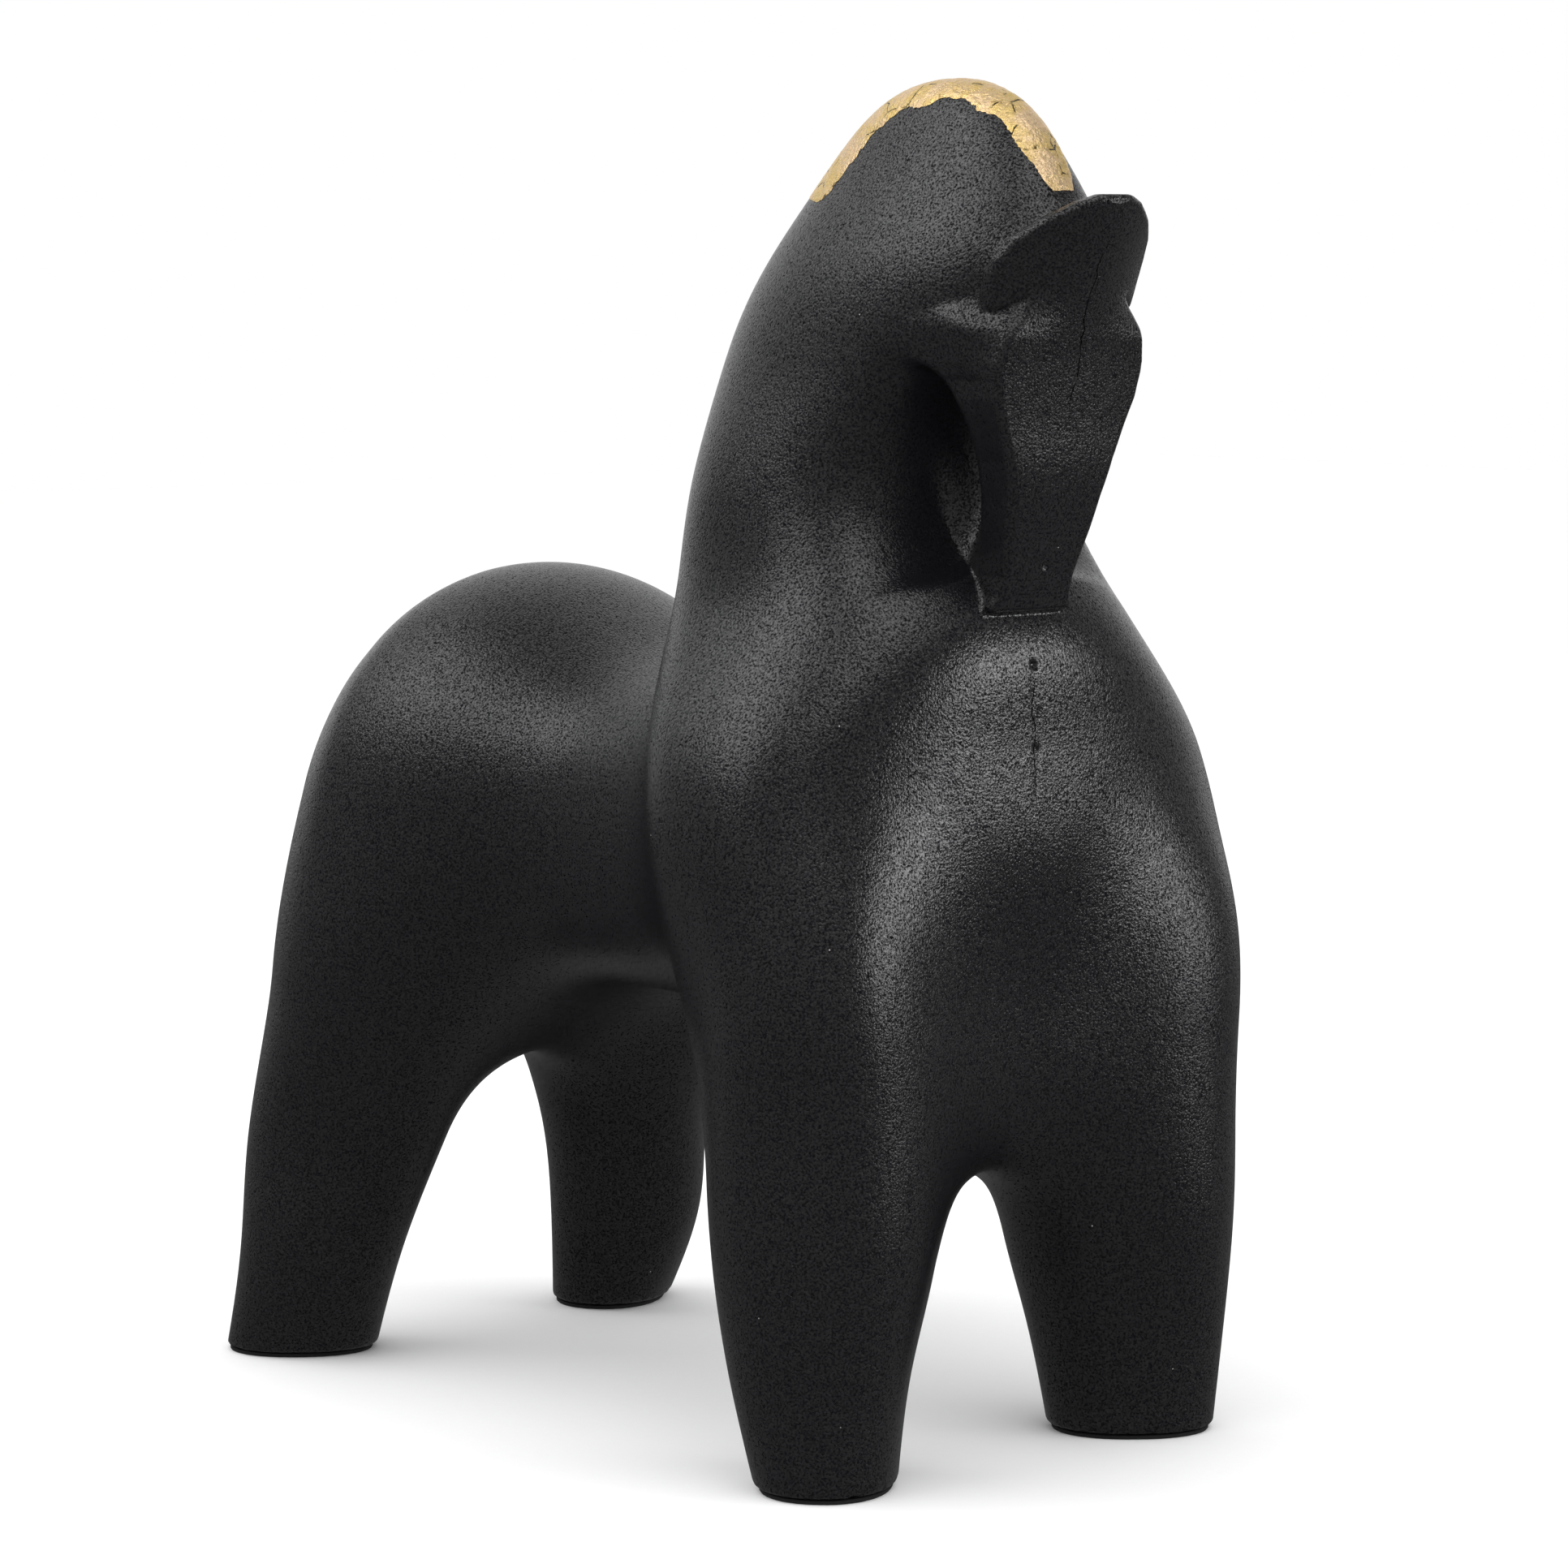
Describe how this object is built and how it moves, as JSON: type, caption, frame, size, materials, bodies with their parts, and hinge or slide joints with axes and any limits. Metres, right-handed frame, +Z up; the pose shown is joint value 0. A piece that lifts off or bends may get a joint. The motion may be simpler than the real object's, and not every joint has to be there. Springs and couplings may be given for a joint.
{
  "type": "horse figurine",
  "caption": "Stylised standing horse figurine: a hollow resin casting with an arched neck, gold leaf along the crest and padded feet.",
  "frame": {"origin": "centre of the bounding box at the floor", "axes": "the horse faces -Y, +X is the horse's own left side, +Z is up"},
  "size_m": [0.1439, 0.2485, 0.3009],
  "materials": {
    "black_resin": "cast resin painted satin charcoal black with a fine sandy grain",
    "gold_leaf": "crinkled gold leaf, matte on top and bright where it catches the light",
    "bare_resin": "unpainted grey resin",
    "black_felt": "thin black felt"
  },
  "bodies": {
    "root": {"resin_casting": "black_resin", "gold_leaf_mane": "gold_leaf", "pour_plug": "bare_resin", "felt_pad_front_right": "black_felt", "felt_pad_front_left": "black_felt", "felt_pad_rear_right": "black_felt", "felt_pad_rear_left": "black_felt"}
  },
  "joints": []
}
